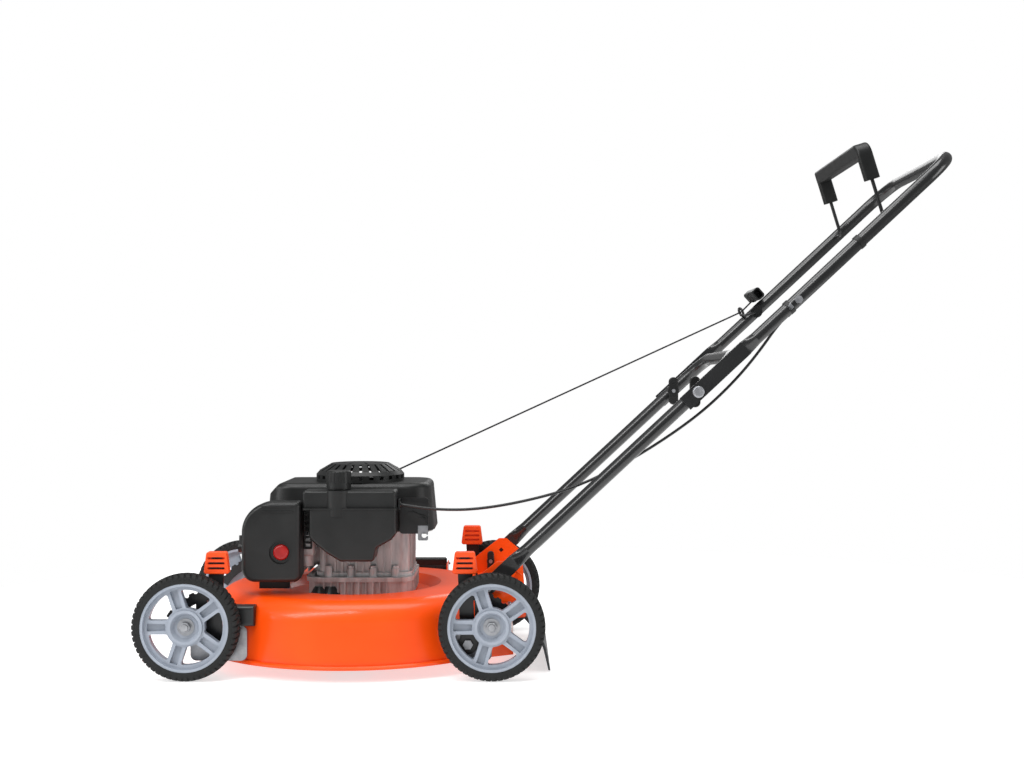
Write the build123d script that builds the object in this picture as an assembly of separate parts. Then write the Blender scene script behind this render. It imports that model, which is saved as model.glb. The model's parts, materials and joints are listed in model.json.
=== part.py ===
from build123d import *
import math
import os

# Petrol rotary push mower. Millimetres, +Z up, the front of the mower towards -X, its left side at -Y.
# The origin is on the ground, under the middle of the whole machine.

# ---- wheels and axles ----
WHEEL_R = 101.6
WHEEL_IN = 237.0
WHEEL_W = 38.0
RIM_R = 83.5
HUB_R = 32.7
AXLE_R = 6.35
AXLE_Z = 101.6
FRONT_AXLE_X = -689.5
REAR_AXLE_X = -112.0
SPOKES = 5

# ---- cutting height levers ----
ARM_X = 46.0
PIVOT_Z = 63.0
LEVER_IN = 226.0
LEVER_T = 4.0
LEVER_W = 28.0
KNOB_RISE = 155.0
KNOB_LEAN = 6.0
LEVER_BOLT_R = 6.0

# ---- deck ----
DECK_X = -391.0
DECK_R = 300.0
SIDE_R = 327.0
SIDE_OFFSET = 46.0
RIM_Z = 25.0
DECK_Z = 148.0
APRON_Z = 136.0
APRON_X = -71.0
SKIN = 2.0
BEAD = 7.0
DECK_TAPER = 6.0
DECK_ROUND = 42.0
POCKET_Z = 130.0
POCKET_R = 168.0
ENGINE_X = -390.0
ENGINE_BOLT_R = 5.0
ENGINE_BOLT_CIRCLE = 85.0
ENGINE_BOLT_ANGLES = (30, 150, 270)
CRANK_R = 12.5
BLADE_R = 264.0
BLADE_Z = 44.0

# ---- discharge door and trailing shield ----
DOOR_X = (-428.0, -223.0)
DOOR_Y = 268.0
DOOR_Z = 149.0
DOOR_ROD_R = 3.0
SHIELD_X = -60.0
SHIELD_Z = 119.0
SHIELD_ROD_R = 4.0
SHIELD_HALF = 183.0

# ---- engine ----
SUMP_X = (-486.0, -277.0)
SUMP_Y = 104.0
SUMP_TOP = 172.0
DOME_Y = -100.0
CASE_X = (-466.0, -283.0)
CASE_Y = 84.0
CASE_TOP = 264.0
CAST_WALL = 9.0
RIB_PITCH = 14.0
HEAD_X = (-590.0, -472.0)
PLUG_Z = 219.0
HOUSING_X = (-575.0, -232.0)
HOUSING_Y = 104.0
HOUSING_Z = (264.0, 360.0)
TANK_Y = (-185.0, -122.0)
TANK_SEAM = 316.5
FILLER_X = -415.0
FILLER_Y = -150.0
FILLER_BORE = 14.5
FILTER_X = (-600.0, -486.0)
FILTER_Z = (175.0, 331.0)
FILTER_SPLIT = -152.0
FILTER_FACE = -190.0
PRIMER = (-523.0, 233.0)
PRIMER_R = 15.5
BRAKE = (-252.0, 290.0)
BRAKE_PIN_R = 3.0

# ---- handle ----
SLOPE = math.atan(1 / 1.073)
LINE_X = -300.4
TUBE_R = 12.7
TUBE_WALL = 1.6
LOWER_Y = 194.0
UPPER_Y = 213.0
PIVOT_S = 167.0 / math.sin(SLOPE)
JOINT_S = 545.0 / math.sin(SLOPE)
LOWER_TOP_S = 615.0 / math.sin(SLOPE)
FLAT_END_S = 630.0 / math.sin(SLOPE)
GUIDE_S = 722.0 / math.sin(SLOPE)
BAIL_S = 890.0 / math.sin(SLOPE)
UPPER_TOP_S = 1005.0 / math.sin(SLOPE)
FLAT_W = 30.0
FLAT_T = 8.0
BOLT_R = 4.0
BRACKET_Y = 185.7
BRACKET_T = 4.0

# ---- bail ----
BAIL_ANGLE = math.radians(107)
BAIL_LEN = 142.0
BAIL_Y = 163.0
BAIL_WIRE_R = 3.5

# ---- fits ----
RUN = 0.05
GAP = 0.3

# ---- starter rope and control cable ----
ROPE_R = 1.75
ROPE_ROUTE = [(-318, 20, 378), (441, 205, 722), (466, 205, 747)]
ROPE_GUIDE_ARC = 12.0
CABLE_R = 2.75
CABLE_ROUTE = [
    (-296, -150, 323), (-243, -155, 315), (-193, -160, 313), (-146, -165, 315), (-85, -170, 324),
    (-18, -174, 339), (36, -176, 355), (97, -177, 380), (173, -177, 421), (240, -177, 464), (298, -177, 507),
    (346, -179, 552), (382, -183, 592), (414, -187, 634), (437, -191, 668), (462, -193, 697),
    (500, -192.5, 737), (546, -193, 783), (592, -192, 828), (626, -191, 858),
]

NODES = {}


def keep(name, shape):
    NODES[name] = shape


def on_handle(s, y, n=0.0):
    """A point s along the handle's line from the ground, n above it, at side position y."""
    x = LINE_X + s * math.cos(SLOPE) - n * math.sin(SLOPE)
    z = s * math.sin(SLOPE) + n * math.cos(SLOPE)
    return (x, y, z)


def across_handle(s, y):
    """A plane square to the handle's tubes, with its local x along the mower's Y."""
    along = (math.cos(SLOPE), 0, math.sin(SLOPE))
    return Plane(origin=on_handle(s, y), x_dir=(0, 1, 0), z_dir=along)


def side_plane(x, y, z, side):
    """A plane at a point of one side of the mower, facing outwards."""
    return Plane(origin=(x, y, z), x_dir=(1, 0, 0), z_dir=(0, side, 0))


def block(x0, x1, y0, y1, z0, z1):
    size = (abs(x1 - x0), abs(y1 - y0), abs(z1 - z0))
    return Pos((x0 + x1) / 2, (y0 + y1) / 2, (z0 + z1) / 2) * Box(*size)


def rod(x, z, y0, y1, radius):
    """A round bar along Y."""
    bar = Cylinder(radius, abs(y1 - y0), rotation=(90, 0, 0))
    return Pos(x, (y0 + y1) / 2, z) * bar


def post(x, y, z0, z1, radius):
    """A round bar along Z."""
    return Pos(x, y, (z0 + z1) / 2) * Cylinder(radius, z1 - z0)


def hex_bar(x, z, y0, y1, across_flats):
    face = Plane(origin=(x, min(y0, y1), z), x_dir=(1, 0, 0), z_dir=(0, 1, 0))
    outline = RegularPolygon(across_flats / 2, 6, major_radius=False)
    return extrude(face * outline, abs(y1 - y0))


def capsule(p, q, width):
    """A flat strip with round ends from p to q, in a sketch."""
    length = math.dist(p, q)
    angle = math.degrees(math.atan2(q[1] - p[1], q[0] - p[0]))
    middle = ((p[0] + q[0]) / 2, (p[1] + q[1]) / 2)
    return Pos(*middle) * Rot(0, 0, angle) * SlotCenterToCenter(length, width)


def in_xz(sketch, y, thickness):
    """Extrude a sketch drawn in (X, Z) from the side position y towards +Y."""
    return extrude(Plane(origin=(0, y, 0), x_dir=(1, 0, 0), z_dir=(0, -1, 0)) * sketch, -thickness)


def swept(points, radii, radius, bore=0.0):
    """A round tube along straight runs joined by tangent arcs."""
    path = FilletPolyline(*points, radius=radii)
    start = Plane(origin=path @ 0, z_dir=path % 0)
    tube = sweep(start * Circle(radius), path=path)
    if bore:
        tube = tube - sweep(start * Circle(bore), path=path)
    return tube


def rounded_box(x0, x1, y0, y1, z0, z1, radius):
    return fillet(block(x0, x1, y0, y1, z0, z1).edges(), radius)


# ---------------------------------------------------------------- wheels
def wheel_plane(axle_x, side):
    return side_plane(axle_x, side * WHEEL_IN, AXLE_Z, side)


def tyre_shape():
    shoulder = 9.0
    outline = Polyline(
        (RIM_R, 0.5), (WHEEL_R - shoulder, 0.5), (WHEEL_R, shoulder),
        (WHEEL_R, WHEEL_W - shoulder), (WHEEL_R - shoulder, WHEEL_W), (RIM_R, WHEEL_W), close=True,
    )
    return revolve(Plane.XZ * make_face(outline), Axis.Z)


def rim_shape():
    web_in, web_out = 12.0, 27.0
    window_r = 71.0
    spoke_w, channel_deep = 26.5, 7.5
    hub_in, hub_out, hub_floor = -5.0, 31.0, 21.0
    recess_mouth, recess_floor = 27.5, 21.5
    rim = post(0, 0, 1.0, WHEEL_W - 1.5, RIM_R) - post(0, 0, 0, WHEEL_W, RIM_R - 5)
    rim += post(0, 0, web_in, web_out, RIM_R - 4)
    windows = Circle(window_r) - Circle(HUB_R + 4)
    for i in range(SPOKES):
        arm = Rot(0, 0, 180 + i * 360 / SPOKES) * Pos(window_r / 2, 0) * Rectangle(window_r + 8, spoke_w)
        windows -= arm
    windows = fillet(windows.vertices(), 4.0)
    rim -= extrude(Pos(0, 0, web_in - 1) * windows, web_out - web_in + 2)
    rim += post(0, 0, hub_in, hub_out, HUB_R)
    recess_tall = hub_out - hub_floor
    rim -= Pos(0, 0, hub_floor + recess_tall / 2) * Cone(recess_floor, recess_mouth, recess_tall)
    channel = make_face(Polyline((37, -6.2), (72.5, -7.6), (72.5, 7.6), (37, 6.2), close=True))
    channel = Pos(0, 0, web_out - channel_deep) * fillet(channel.vertices(), 1.5)
    for i in range(SPOKES):
        rim -= Rot(0, 0, 180 + i * 360 / SPOKES) * extrude(channel, channel_deep + 1)
    return rim - post(0, 0, hub_in - 1, hub_out + 1, AXLE_R + RUN)


def wheel_nut_shape():
    """The washer and lock nut in the hub's recess."""
    washer = post(0, 0, 21.1, 23.0, 16.3) - post(0, 0, 20, 24, AXLE_R)
    nut = Pos(0, 0, 23.0) * extrude(RegularPolygon(8.8, 6, major_radius=False), 9.0)
    nut = nut - post(0, 0, 22, 33, AXLE_R)
    return Compound([washer, chamfer(nut.faces().sort_by(Axis.Z)[-1].edges(), 0.8)])


def lever_outline(axle_x, towards):
    """The strip lever: knob end, pivot and axle arm; towards is +1 where the axle is behind the pivot."""
    pivot_x = axle_x - towards * ARM_X
    top = (pivot_x - towards * KNOB_LEAN, PIVOT_Z + KNOB_RISE)
    pivot = (pivot_x, PIVOT_Z)
    strip = capsule(pivot, top, LEVER_W)
    arm = capsule(pivot, (axle_x, AXLE_Z), LEVER_W)
    boss = Pos(*pivot) * Circle(19.0)
    hole = Pos(*pivot) * Circle(LEVER_BOLT_R + RUN)
    return strip + arm + boss - hole


def knob_shape(x, z, side):
    """A ribbed paddle grip on the end of a lever, narrower at its top."""
    low_half, top_half, below, above = 24.5, 19.0, 20.0, 22.0
    outer, inner = 236.0, 218.0
    slot_wide, slot_tall = 33.0, 4.4
    outline = Polyline(
        (x - low_half, z - below), (x + low_half, z - below), (x + top_half, z + above),
        (x - top_half, z + above), close=True,
    )
    y_low = min(side * inner, side * outer)
    paddle = in_xz(fillet(make_face(outline).vertices(), 5.0), y_low, outer - inner)
    paddle = fillet(paddle.faces().filter_by(Axis.Y).edges(), 2.0)
    for i in range(3):
        slot = Pos(x, z - 9 + 9.6 * i) * SlotOverall(slot_wide, slot_tall)
        paddle -= in_xz(slot, min(side * (outer - 7), side * (outer + 1)), 8.0)
        paddle -= in_xz(slot, min(side * (inner - 1), side * (inner + 5)), 6.0)
    return paddle


def make_corner(end, side, label):
    axle_x = FRONT_AXLE_X if end == "front" else REAR_AXLE_X
    towards = -1 if end == "front" else 1
    pivot_x = axle_x - towards * ARM_X
    plane = wheel_plane(axle_x, side)
    keep(f"tyre_{label}", plane.location * tyre_shape())
    keep(f"rim_{label}", plane.location * rim_shape())
    keep(f"wheel_nut_{label}", plane.location * wheel_nut_shape())
    lever_y = LEVER_IN if side > 0 else -LEVER_IN - LEVER_T
    lever = in_xz(lever_outline(axle_x, towards), lever_y, LEVER_T)
    axle_end = WHEEL_IN + 34.5
    lever += rod(axle_x, AXLE_Z, side * LEVER_IN, side * axle_end, AXLE_R)
    keep(f"height_lever_{label}", lever)
    knob_x = pivot_x - towards * KNOB_LEAN
    keep(f"height_knob_{label}", knob_shape(knob_x, PIVOT_Z + KNOB_RISE, side) - lever)


# ---------------------------------------------------------------- deck
def flat_bowl(extra, z0, z1):
    """The plan of the deck's bowl as a slab: a round front and rear with two flatter sides."""
    slab = post(DECK_X, 0, z0, z1, DECK_R + extra)
    for side in (-1, 1):
        slab &= post(DECK_X - 4, side * SIDE_OFFSET, z0, z1, SIDE_R + extra)
    return fillet(slab.edges().filter_by(Axis.Z), 70 + extra)


def deck_solid(inset, bottom):
    """The deck as a filled block, its faces moved in by inset."""
    tall = DECK_Z - inset - RIM_Z
    middle = RIM_Z + tall / 2
    lean = tall * math.tan(math.radians(DECK_TAPER))
    bowl = Pos(DECK_X, 0, middle) * Cone(DECK_R - inset, DECK_R - inset - lean, tall)
    for side in (-1, 1):
        flank = Cone(SIDE_R - inset, SIDE_R - inset - lean, tall)
        bowl &= Pos(DECK_X - 4, side * SIDE_OFFSET, middle) * flank
    corners = [edge for edge in bowl.edges() if abs(edge.center().Z - middle) < 5]
    bowl = fillet(corners, 70)
    bowl = fillet(bowl.faces().sort_by(Axis.Z)[-1].edges(), DECK_ROUND - inset)
    pocket = Pos(DECK_X + 1, 0, (POCKET_Z - inset + DECK_Z) / 2)
    pocket = pocket * Cone(POCKET_R - 18 + inset, POCKET_R + inset, DECK_Z - POCKET_Z + inset)
    apron_top = Pos(0, 0, APRON_Z - inset) * apron_outline(inset + lean)
    back = loft([Pos(0, 0, RIM_Z) * apron_outline(inset), apron_top])
    back = fillet(back.faces().sort_by(Axis.Z)[-1].edges().sort_by(Axis.X)[1:], 16.0 - inset)
    solid = bowl + back - pocket
    if bottom < RIM_Z:
        solid += flat_bowl(-inset, bottom, RIM_Z)
        solid += extrude(Pos(0, 0, bottom) * apron_outline(inset), RIM_Z - bottom)
    return solid


def apron_outline(inset):
    """Plan of the deck's lower rear part, between the rear wheels."""
    half, back_half = 167.0 - inset, 140.0 - 0.6 * inset
    return make_face(Polyline(
        (-175, -half), (-119, -half), (APRON_X - inset, -back_half),
        (APRON_X - inset, back_half), (-119, half), (-175, half), close=True,
    ))


def engine_bolts():
    """Where the three engine bolts stand, in plan."""
    angles = [math.radians(angle) for angle in ENGINE_BOLT_ANGLES]
    return [
        (ENGINE_X + ENGINE_BOLT_CIRCLE * math.cos(a), ENGINE_BOLT_CIRCLE * math.sin(a)) for a in angles
    ]


def make_deck():
    outer = deck_solid(0.0, RIM_Z)
    shell = outer - deck_solid(SKIN, RIM_Z - 1)
    bead = flat_bowl(BEAD, RIM_Z, RIM_Z + BEAD) - outer
    bead = chamfer(bead.faces().sort_by(Axis.Z)[-1].outer_wire().edges(), 2.0)
    rear_cut = block(APRON_X - 80, APRON_X + 60, -150, 150, 0, DECK_Z)
    shell += bead - rear_cut
    shell -= post(ENGINE_X, 0, 100, DECK_Z, 45.0)
    shell -= block(-420, -232, 200, 300, 42, 116)
    for x in (-431.5, -219.5):
        ear = block(x - 1.5, x + 1.5, 200, 274, 120, 155) - deck_solid(1.0, RIM_Z)
        shell += ear - Pos(x, DOOR_Y, DOOR_Z) * Cylinder(DOOR_ROD_R, 10, rotation=(0, 90, 0))
    for x, y in engine_bolts():
        shell -= post(x, y, 100, DECK_Z, ENGINE_BOLT_R)
    keep("deck_shell", shell)
    return outer + bead


def make_wheel_brackets(deck):
    """Four zinc plates that carry the height levers, each with a shelf welded to the deck."""
    plates = []
    guides = []
    for axle_x, towards in ((FRONT_AXLE_X, -1), (REAR_AXLE_X, 1)):
        pivot_x = axle_x - towards * ARM_X
        for side in (-1, 1):
            y0 = 222.0 if side > 0 else -225.7
            low, high = pivot_x - 45.5, pivot_x + 62.5
            if towards > 0:
                low, high = pivot_x - 36, pivot_x + 45.5
            plate = block(low, high, y0, y0 + 3.7, 31, 98)
            plate = fillet(plate.edges().filter_by(Axis.Y), 12.0)
            shelf = block(low + 12, high - 12, side * 100, side * 223, 90, 94)
            plate = plate + shelf - deck
            plate -= rod(pivot_x, PIVOT_Z, side * 200, side * 240, LEVER_BOLT_R)
            plates.append(plate.solid())
            guides.append(guide_plate(pivot_x, towards, y0).solid())
            if towards < 0:
                guides.append(stop_block(side, deck))
    keep("wheel_brackets", Compound(plates))
    keep("height_guides", Compound(guides))


def stop_block(side, deck):
    """The moulded buffer on top of a front plate, against the deck's wall."""
    buffer = block(-604, -565, side * 212, side * 236, 98, 137)
    outer = buffer.faces().sort_by(Axis.Y)[-1 if side > 0 else 0]
    return (fillet(outer.edges(), 6.0) - deck).solids().sort_by(SortBy.VOLUME)[-1]


def guide_plate(pivot_x, towards, y0):
    """The notched sector that a height lever runs along."""
    inner, outer, notch_r = 84.0, 106.0, 4.5
    ring = Circle(outer) - Circle(inner)
    wedge_pts = [(0, 0)]
    for degrees in (100, 80, 55, 30):
        ray = math.radians(degrees)
        wedge_pts.append((150 * math.cos(ray), 150 * math.sin(ray)))
    sector = ring & make_face(Polyline(*wedge_pts, close=True))
    for i in range(6):
        ray = math.radians(90 - 10 * i)
        sector -= Pos(outer * math.cos(ray), outer * math.sin(ray)) * Circle(notch_r)
    leg = Pos(24, 56) * Rectangle(22, 72)
    sector = sector + (leg & Circle(outer - 8))
    if towards < 0:
        sector = mirror(sector, about=Plane.YZ)
    plate = in_xz(Pos(pivot_x, PIVOT_Z) * sector, y0, 3.7)
    return plate - block(pivot_x - 120, pivot_x + 120, y0 - 1, y0 + 5, 20, 98)


def make_handle_brackets(deck):
    """The orange plates that hold the lower handle, with a foot on the deck and a stop under the tube."""
    outline = Polyline(
        (-158, 138), (-158, 172), (-103, 216), (-86, 216), (-52, 187), (-46, 108), (-70, 106), (-74, 138),
        close=True,
    )
    profile = fillet(make_face(outline).vertices(), 5.0)
    rod_hole = Pos(SHIELD_X, SHIELD_Z) * Circle(SHIELD_ROD_R)
    bolt_x, _, bolt_z = on_handle(PIVOT_S, 0)
    profile = profile - rod_hole - Pos(bolt_x, bolt_z) * Circle(BOLT_R)
    profile -= Pos(-98, 190) * Rot(0, 0, 43) * Rectangle(8, 8)
    both = []
    for side in (-1, 1):
        y0 = BRACKET_Y if side > 0 else -BRACKET_Y - BRACKET_T
        plate = in_xz(profile, y0, BRACKET_T)
        plate += block(-150, -82, side * 120, side * (BRACKET_Y + 2), 136, 139) - deck
        stop = Location(on_handle(PIVOT_S + 48, 0, -FLAT_W / 2 - 2.0), (0, -math.degrees(SLOPE), 0))
        plate += stop * Pos(0, side * (BRACKET_Y + 6.5), 0) * Box(20, 13, 3)
        both.append(plate.solid())
    keep("handle_brackets", Compound(both))


def make_deck_fasteners():
    """Bolts and hinge rods fixed to the deck."""
    items = []
    for axle_x, towards in ((FRONT_AXLE_X, -1), (REAR_AXLE_X, 1)):
        x = axle_x - towards * ARM_X
        for side in (-1, 1):
            bolt = rod(x, PIVOT_Z, side * 214, side * 231, LEVER_BOLT_R)
            bolt += hex_bar(x, PIVOT_Z, side * 230.3, side * 236, 17)
            bolt += hex_bar(x, PIVOT_Z, side * 214, side * 221.7, 19)
            items.append(bolt)
    x, _, z = on_handle(PIVOT_S, 0)
    for side in (-1, 1):
        bolt = rod(x, z, side * 163, side * 199, BOLT_R)
        head = rod(x, z, side * 198.3, side * 202.5, 9.0)
        outer = head.faces().sort_by(Axis.Y)[-1 if side > 0 else 0]
        items.append(bolt + fillet(outer.edges(), 3.0))
    items.append(rod(SHIELD_X, SHIELD_Z, -195, 195, SHIELD_ROD_R))
    door_rod = Cylinder(DOOR_ROD_R, DOOR_X[1] - DOOR_X[0] + 16, rotation=(0, 90, 0))
    items.append(Pos(sum(DOOR_X) / 2, DOOR_Y, DOOR_Z) * door_rod)
    for bx, by in engine_bolts():
        head = Pos(bx, by, POCKET_Z - SKIN - 8) * extrude(RegularPolygon(8, 6, major_radius=False), 8)
        items.append(head + post(bx, by, POCKET_Z - SKIN, POCKET_Z, ENGINE_BOLT_R))
    keep("deck_fasteners", Compound(items))


def make_discharge_door():
    """The sprung flap over the grass outlet on the right side."""
    x0, x1 = DOOR_X
    knuckle = Cylinder(6.5, x1 - x0, rotation=(0, 90, 0))
    profile = Polyline(
        (268, 150), (276, 150), (287.5, 96), (287.5, 34), (284.0, 34), (284.0, 95), (274, 142), (268, 142),
        close=True,
    )
    face = Plane(origin=(x0, 0, 0), x_dir=(0, 1, 0), z_dir=(1, 0, 0)) * make_face(profile)
    door = extrude(face, x1 - x0) + Pos((x0 + x1) / 2, DOOR_Y, DOOR_Z) * knuckle
    door += rounded_box(x0, x1, DOOR_Y - 8, DOOR_Y + 11, DOOR_Z - 7, DOOR_Z + 13, 5.0)
    for i in range(4):
        x = x0 + 20 + i * (x1 - x0 - 40) / 3
        door -= block(x - 12, x + 12, 286.7, 290, 45, 88)
    bore = Cylinder(DOOR_ROD_R + RUN, x1 - x0 + 2, rotation=(0, 90, 0))
    keep("discharge_door", door - Pos((x0 + x1) / 2, DOOR_Y, DOOR_Z) * bore)


def make_trailing_shield():
    """The heavy flap that hangs behind the deck."""
    knuckle_r = 7.5
    front_line = [(-58, 113), (-36, 88), (-14, 50), (-3, 3)]
    back_line = [(1, 3), (-9, 52), (-32, 92), (-55, 119)]
    profile = make_face(Polyline(*front_line, *back_line, close=True))
    bends = [v for v in profile.vertices() if 40 < v.Y < 100]
    sheet = in_xz(fillet(bends, 60.0), -SHIELD_HALF, 2 * SHIELD_HALF)
    shield = sheet + rod(SHIELD_X, SHIELD_Z, -SHIELD_HALF, SHIELD_HALF, knuckle_r)
    shield -= rod(SHIELD_X, SHIELD_Z, -200, 200, SHIELD_ROD_R + RUN)
    keep("trailing_shield", shield.solid())


# ---------------------------------------------------------------- engine
def make_crankcase():
    bore = post(ENGINE_X, 0, 100, 300, CRANK_R + RUN)
    sump = block(*SUMP_X, -SUMP_Y, SUMP_Y, POCKET_Z, SUMP_TOP - 8)
    sump = fillet(sump.edges().filter_by(Axis.Z), 34.0)
    flange = block(SUMP_X[0] - 4, SUMP_X[1] + 4, -SUMP_Y - 5, SUMP_Y + 5, SUMP_TOP - 9, SUMP_TOP)
    sump += fillet(flange.edges().filter_by(Axis.Z), 36.0)
    sump = with_ribs(sump, SUMP_X, SUMP_Y, POCKET_Z + 6, SUMP_TOP - 9, RIB_PITCH)
    well = block(SUMP_X[0] + 10, SUMP_X[1] - 10, -SUMP_Y + 10, SUMP_Y - 10, POCKET_Z + 9, SUMP_TOP)
    sump -= fillet(well.edges().filter_by(Axis.Z), 24.0)
    sump += post(ENGINE_X, 0, POCKET_Z, SUMP_TOP - 6, 24.0)
    for x in (-460, -438):
        sump += Pos(x, DOME_Y, POCKET_Z + 12) * Cone(25, 10, 24)
    keep("sump", sump - bore)
    case = block(*CASE_X, -CASE_Y, CASE_Y, SUMP_TOP, CASE_TOP)
    case = fillet(case.edges().filter_by(Axis.Z), 26.0)
    lip = block(CASE_X[0] - 6, CASE_X[1] + 6, -CASE_Y - 7, CASE_Y + 7, SUMP_TOP, SUMP_TOP + 8)
    case += fillet(lip.edges().filter_by(Axis.Z), 32.0)
    case = with_ribs(case, CASE_X, CASE_Y, SUMP_TOP + 8, CASE_TOP - 8, RIB_PITCH)
    for x in (-444, -399, -354, -309):
        for y in (-CASE_Y - 9, CASE_Y + 9):
            case += post(x, y, SUMP_TOP, SUMP_TOP + 17, 8.0)
            case += Pos(x, y, SUMP_TOP + 17) * extrude(RegularPolygon(6.0, 6, major_radius=False), 5.0)
    plate = block(HOUSING_X[0] + 4, HOUSING_X[1] - 4, -HOUSING_Y + 4, HOUSING_Y - 4, CASE_TOP - 3, CASE_TOP)
    case += fillet(plate.edges().filter_by(Axis.Z), 50.0)
    room = block(CASE_X[0] + CAST_WALL, CASE_X[1] - CAST_WALL, -CASE_Y + CAST_WALL, CASE_Y - CAST_WALL,
                 SUMP_TOP, CASE_TOP - CAST_WALL)
    case = case - fillet(room.edges().filter_by(Axis.Z), 18.0)
    case += post(ENGINE_X, 0, CASE_TOP - 34, CASE_TOP, 24.0)
    keep("crankcase", case - bore - head_solid(GAP))


def with_ribs(body, x_range, half_y, z0, z1, pitch):
    """Upright casting ribs on the left, right and rear faces."""
    count = int((x_range[1] - x_range[0] - 70) / pitch) + 1
    for i in range(count):
        x = x_range[0] + 35 + i * pitch
        body += block(x - 1.6, x + 1.6, -half_y - 4.5, half_y + 4.5, z0, z1)
    for i in range(int((2 * half_y - 70) / pitch) + 1):
        y = -half_y + 35 + i * pitch
        body += block(x_range[1] - 4, x_range[1] + 4.5, y - 1.6, y + 1.6, z0, z1)
    return body


def head_solid(grow):
    return block(HEAD_X[0] - grow, HEAD_X[1] + 6 + grow, -54 - grow, 54 + grow, 176 - grow, 259 + grow)


def make_cylinder_head():
    """The horizontal cylinder and its finned head, pointing forwards."""
    core = block(HEAD_X[0] + 8, HEAD_X[1] + 6, -36, 36, 186, 249)
    core = fillet(core.edges().filter_by(Axis.X), 14.0)
    head = core
    for i in range(9):
        x = HEAD_X[0] + 8 + 11.5 * i
        head += block(x - 1.5, x + 1.5, -53, 53, 177, 258)
    head += block(HEAD_X[0], HEAD_X[0] + 9, -44, 44, 184, 252)
    head -= Pos(HEAD_X[0], 0, PLUG_Z) * Cylinder(7, 30, rotation=(0, 90, 0))
    keep("cylinder_head", head)
    plug = Pos(HEAD_X[0] - 8, 0, PLUG_Z) * Cylinder(6.9, 38, rotation=(0, 90, 0))
    collar = Pos(HEAD_X[0] - 8, 0, PLUG_Z) * Cylinder(11, 8, rotation=(0, 90, 0))
    boot = Pos(HEAD_X[0] - 36, 0, PLUG_Z) * Cylinder(10, 36, rotation=(0, 90, 0))
    lead = Pos(HEAD_X[0] - 46, 0, PLUG_Z + 12) * Cylinder(7.5, 26)
    keep("spark_plug", plug + collar + boot + lead)


def housing_plan(inset):
    wide, deep = HOUSING_X[1] - HOUSING_X[0] - 2 * inset, 2 * HOUSING_Y - 2 * inset
    return Pos(sum(HOUSING_X) / 2, 0) * RectangleRounded(wide, deep, 54.0 - inset)


def housing_solid(inset):
    """The blower housing as a filled block: tapered sides, round corners and a sloping front hood."""
    top = HOUSING_Z[1] - inset
    solid = loft([Pos(0, 0, HOUSING_Z[0]) * housing_plan(inset), Pos(0, 0, top) * housing_plan(inset + 9)])
    wedge = make_face(Polyline(
        (-541, top + 2), (-531, top + 30), (-620, top + 30), (-620, top - 76), close=True))
    solid = solid - in_xz(wedge, -200, 400)
    rounds = solid.faces().sort_by(Axis.Z)[-1].edges()
    return fillet(rounds, 12.0 - inset)


def make_blower_housing():
    housing = housing_solid(0.0) - housing_solid(2.5)
    housing -= post(ENGINE_X, 0, 340, 380, 74.0)
    for i in range(6):
        x = -300 - 12 * i
        housing -= block(x - 2, x + 2, 80, 140, 290, 330)
    keep("blower_housing", housing)


def make_recoil_cover():
    """The domed starter cover, with air slots round its skirt and top."""
    base = HOUSING_Z[1]
    outer = Polyline((0, base), (91, base), (91, base + 14), (84, base + 22), (60, base + 36), (0, base + 39))
    inner = Polyline((0, base), (88, base), (88, base + 13), (82, base + 19), (59, base + 33), (0, base + 36))
    dome = revolve(Plane.XZ * make_face([*outer.edges(), Line((0, base + 39), (0, base))]), Axis.Z)
    hollow = revolve(Plane.XZ * make_face([*inner.edges(), Line((0, base + 36), (0, base))]), Axis.Z)
    cover = dome - hollow
    slots = 26
    for i in range(slots):
        slot = Pos(73, 0, base + 26) * Box(24, 5.5, 30)
        skirt = Pos(90, 0, base + 9) * Box(10, 9, 7)
        turn = Rot(0, 0, i * 360 / slots)
        cover -= turn * slot
        cover -= turn * skirt
    for i in range(8):
        vent = Pos(42, 0, base + 36) * Box(22, 4.5, 20)
        cover -= Rot(0, 0, i * 45 + 22.5) * vent
    cover = Pos(ENGINE_X, 0, 0) * cover
    along = Vector(*ROPE_ROUTE[1]) - Vector(*ROPE_ROUTE[0])
    mouth = Plane(origin=Vector(*ROPE_ROUTE[0]) - along.normalized() * 8, z_dir=along)
    eyelet = extrude(mouth * Circle(7), 14)
    tunnel = extrude(mouth * Circle(ROPE_R + 0.6), 60)
    keep("recoil_cover", cover + eyelet - tunnel)


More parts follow.
